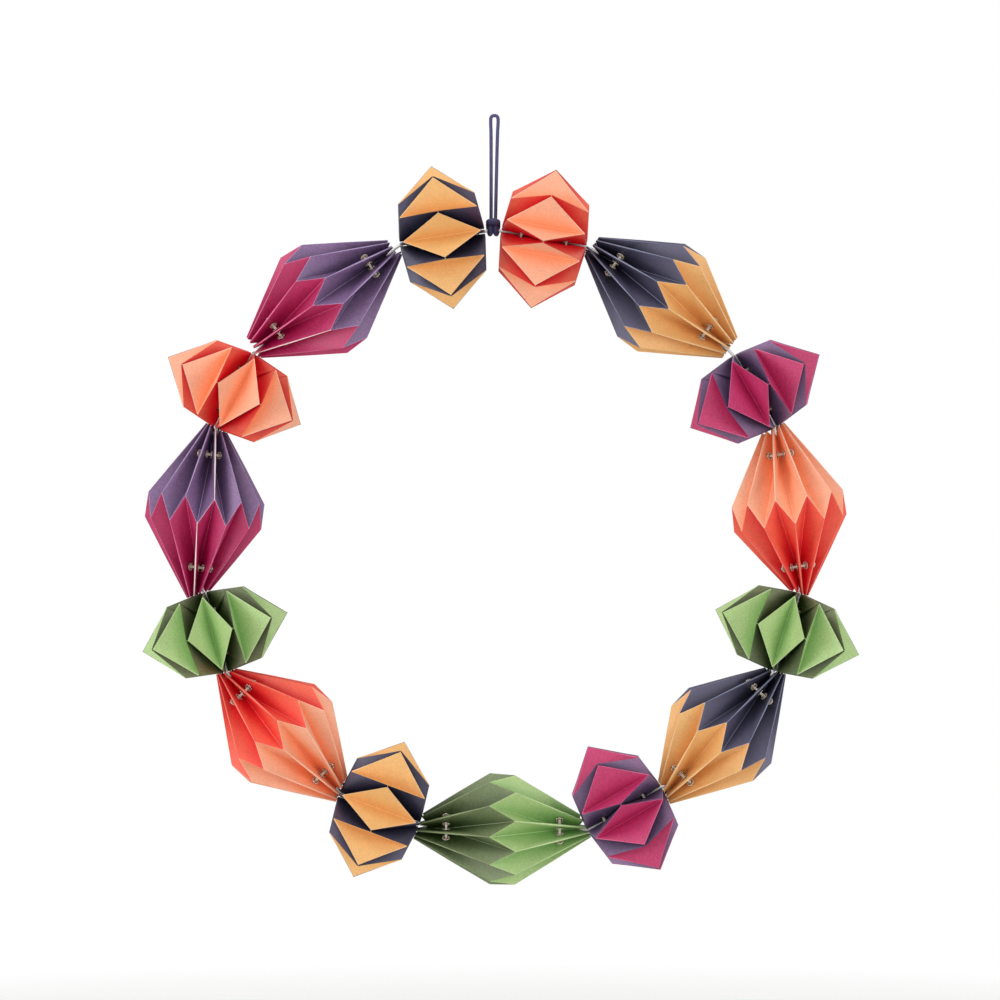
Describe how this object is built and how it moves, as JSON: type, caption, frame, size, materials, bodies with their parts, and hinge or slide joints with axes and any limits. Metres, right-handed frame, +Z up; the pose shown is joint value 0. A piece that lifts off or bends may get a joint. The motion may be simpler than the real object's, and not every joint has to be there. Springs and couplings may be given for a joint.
{
  "type": "paper wreath",
  "caption": "Hanging wreath of pleated paper lanterns and diamond-faced paper beads in two-colour pairs, threaded on a wire hoop and hung from a knotted navy cord.",
  "frame": {"origin": "Inside top of the hanging cord's loop, where the hook carries it; the wreath hangs below it.", "axes": "+Z up; the wreath lies in the XZ plane and faces -Y; +X is to the right as seen from the front."},
  "size_m": [0.398, 0.0836, 0.4281],
  "materials": {
    "paper_coral_red": "matte coloured paper, coral and red",
    "paper_gold_navy": "matte coloured paper, navy and gold",
    "paper_magenta_purple": "matte coloured paper, magenta and purple",
    "paper_dark_green_light_green": "matte coloured paper, light green and dark green",
    "eyelet_metal": "bright pale brass",
    "silver_thread": "silvery thread",
    "wire": "bright drawn wire",
    "cord": "matte navy braided cord"
  },
  "bodies": {
    "root": {"bead_01": "paper_coral_red", "eyelets_01": "eyelet_metal", "drawstrings_01": "silver_thread", "lantern_02": "paper_gold_navy", "eyelets_02": "eyelet_metal", "drawstrings_02": "silver_thread", "bead_03": "paper_magenta_purple", "eyelets_03": "eyelet_metal", "drawstrings_03": "silver_thread", "lantern_04": "paper_coral_red", "eyelets_04": "eyelet_metal", "drawstrings_04": "silver_thread", "bead_05": "paper_dark_green_light_green", "eyelets_05": "eyelet_metal", "drawstrings_05": "silver_thread", "lantern_06": "paper_gold_navy", "eyelets_06": "eyelet_metal", "drawstrings_06": "silver_thread", "bead_07": "paper_magenta_purple", "eyelets_07": "eyelet_metal", "drawstrings_07": "silver_thread", "lantern_08": "paper_dark_green_light_green", "eyelets_08": "eyelet_metal", "drawstrings_08": "silver_thread", "bead_09": "paper_gold_navy", "eyelets_09": "eyelet_metal", "drawstrings_09": "silver_thread", "lantern_10": "paper_coral_red", "eyelets_10": "eyelet_metal", "drawstrings_10": "silver_thread", "bead_11": "paper_dark_green_light_green", "eyelets_11": "eyelet_metal", "drawstrings_11": "silver_thread", "lantern_12": "paper_magenta_purple", "eyelets_12": "eyelet_metal", "drawstrings_12": "silver_thread", "bead_13": "paper_coral_red", "eyelets_13": "eyelet_metal", "drawstrings_13": "silver_thread", "lantern_14": "paper_magenta_purple", "eyelets_14": "eyelet_metal", "drawstrings_14": "silver_thread", "bead_15": "paper_gold_navy", "eyelets_15": "eyelet_metal", "drawstrings_15": "silver_thread", "hoop": "wire", "cord_knot": "cord", "hanging_cord": "cord"}
  },
  "joints": []
}
